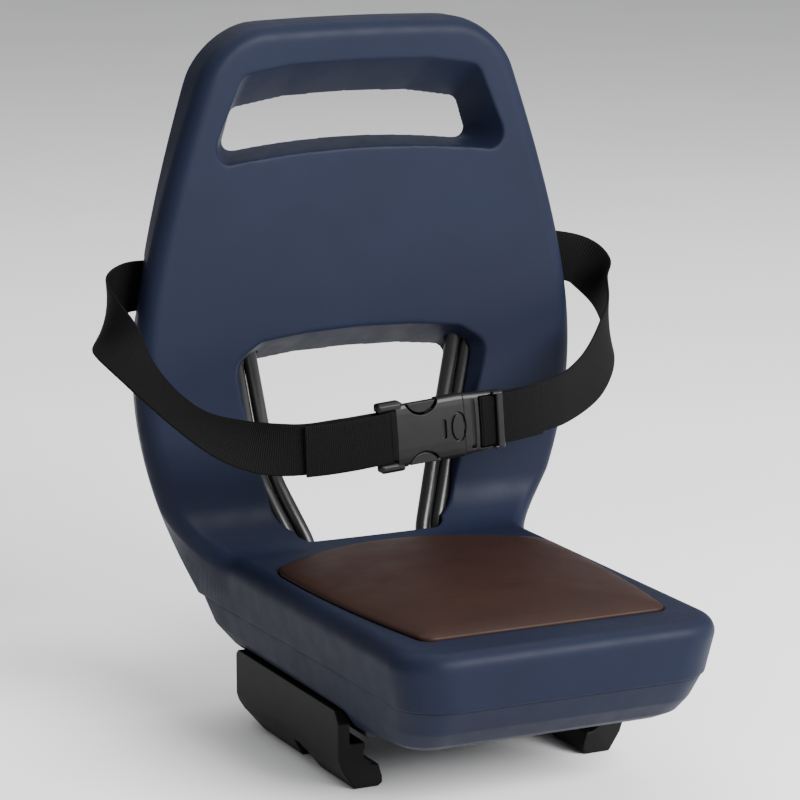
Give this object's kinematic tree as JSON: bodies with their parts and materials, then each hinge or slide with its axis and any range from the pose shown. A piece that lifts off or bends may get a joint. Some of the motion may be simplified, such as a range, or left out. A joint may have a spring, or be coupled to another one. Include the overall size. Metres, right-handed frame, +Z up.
{
  "type": "rear child bike seat",
  "caption": "Moulded rear bicycle seat for a child, with a backrest with a handle opening, a seat pad, a lap belt with a buckle, and sliding jaws that clamp a carrier.",
  "frame": {"origin": "on the seat's middle plane, midway between the front of the seat and the rear edge of the shell, level with the feet of the jaws", "axes": "+Z up; the child faces -Y; +X is to the left of a child who sits in it, the viewer's right from the front"},
  "size_m": [0.3961, 0.3339, 0.471],
  "materials": {
    "shell": "fine matt grain",
    "pad": "soft matt",
    "tube": "gloss",
    "plug": "matt",
    "saddle": "satin",
    "steel": "zinc plated",
    "webbing": "woven",
    "buckle": "matt",
    "jaw": "matt",
    "rail_pad": "matt"
  },
  "bodies": {
    "seat": {"seat_shell": "shell", "base_pan": "shell", "seat_pad": "pad", "outer_tube": "tube", "inner_tube": "tube", "tube_plugs": "plug", "upper_saddles": "saddle", "lower_saddles": "saddle", "saddle_screws": "steel", "pan_screws": "steel", "lap_belt": "webbing", "buckle_socket": "buckle", "buckle_plug": "buckle", "rail_pad_left": "rail_pad", "rail_pad_right": "rail_pad", "clamp_bolts": "steel", "clamp_washers": "steel", "clamp_nuts": "steel"},
    "left_clamp": {"jaw_left": "jaw"},
    "right_clamp": {"jaw_right": "jaw"}
  },
  "joints": [
    {"name": "left_jaw_slide", "type": "slide", "parent": "seat", "child": "left_clamp", "axis": [1, 0, 0], "range_m": [-0.004, 0.012]},
    {"name": "right_jaw_slide", "type": "slide", "parent": "seat", "child": "right_clamp", "axis": [-1, 0, 0], "range_m": [-0.004, 0.012]}
  ]
}
